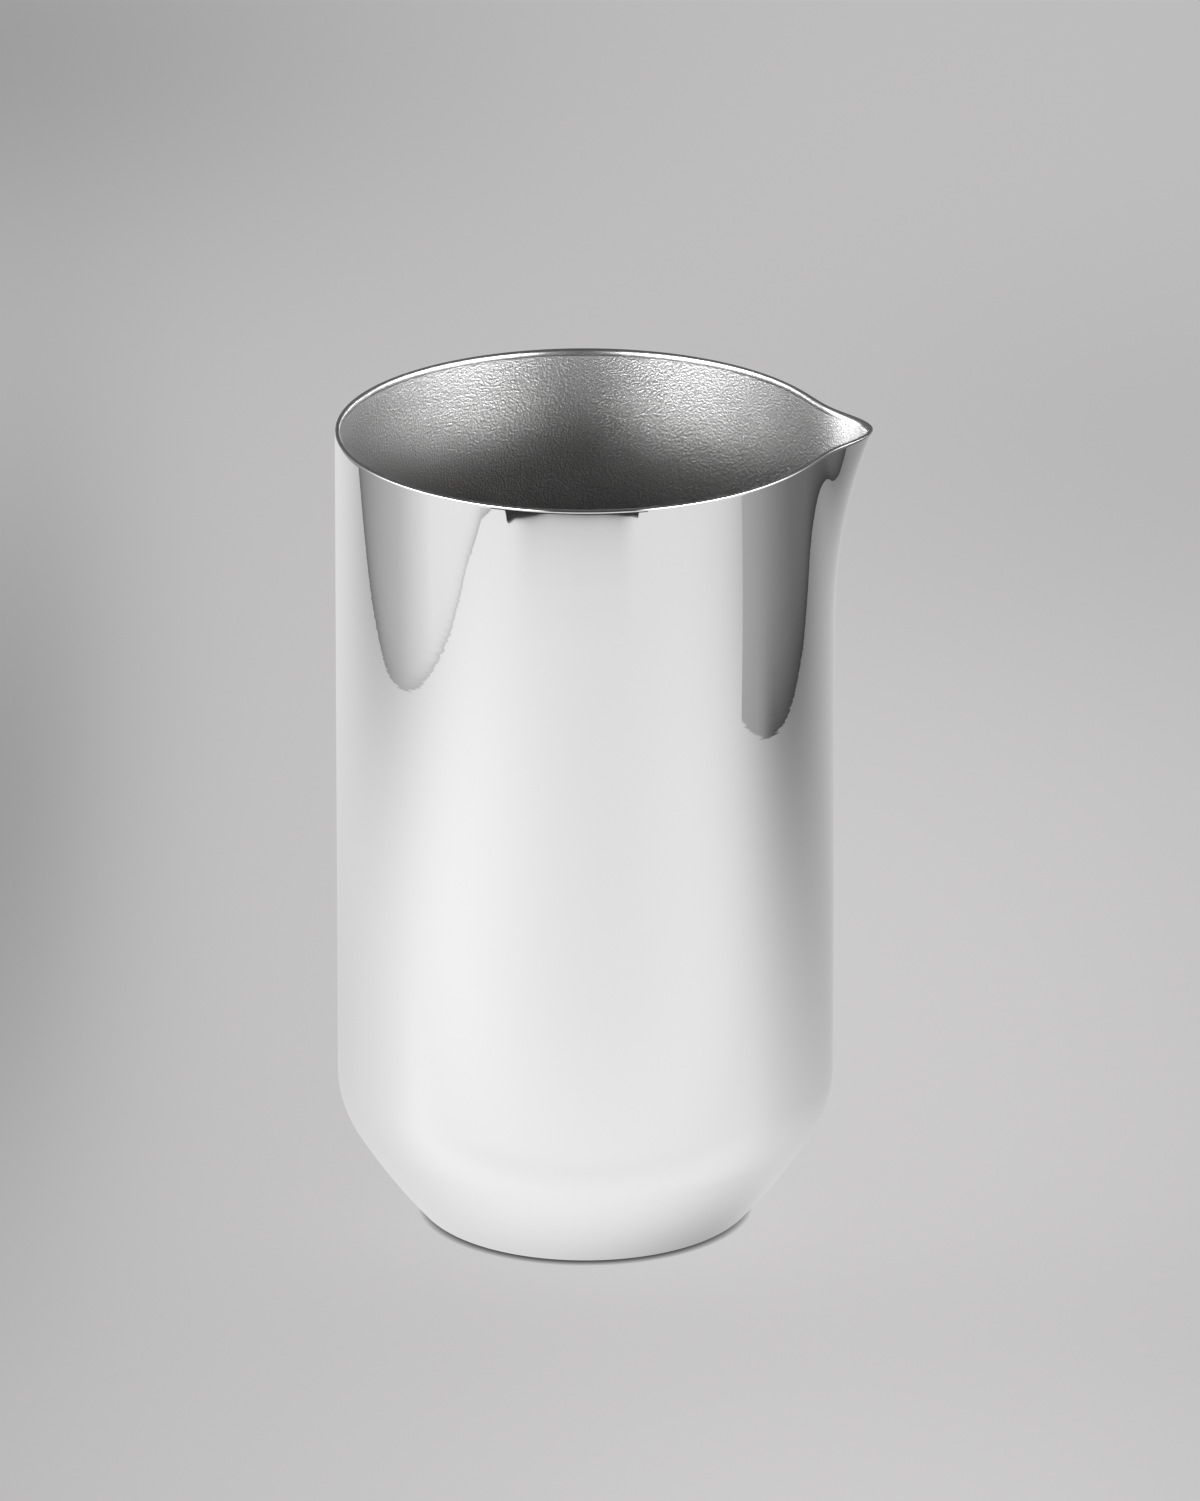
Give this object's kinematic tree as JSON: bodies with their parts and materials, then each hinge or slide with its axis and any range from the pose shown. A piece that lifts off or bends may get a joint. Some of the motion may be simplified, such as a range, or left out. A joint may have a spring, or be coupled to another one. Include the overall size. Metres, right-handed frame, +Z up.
{
  "type": "cocktail pitcher",
  "caption": "Double-walled steel cocktail mixing pitcher: straight round body, bevelled foot, pouring spout drawn out of the rim.",
  "frame": {"origin": "centre of the foot ring, at table level on the body's axis", "axes": "+Z up along the body's axis, +X towards the tip of the spout"},
  "size_m": [0.1021, 0.095, 0.158],
  "materials": {
    "polished_steel": "mirror polished stainless steel",
    "blasted_steel": "fine bead-blasted satin stainless steel, polished at the rim",
    "plate_steel": "satin stainless steel"
  },
  "bodies": {
    "root": {"outer_shell": "polished_steel", "inner_shell": "blasted_steel", "base_plate": "plate_steel"}
  },
  "joints": []
}
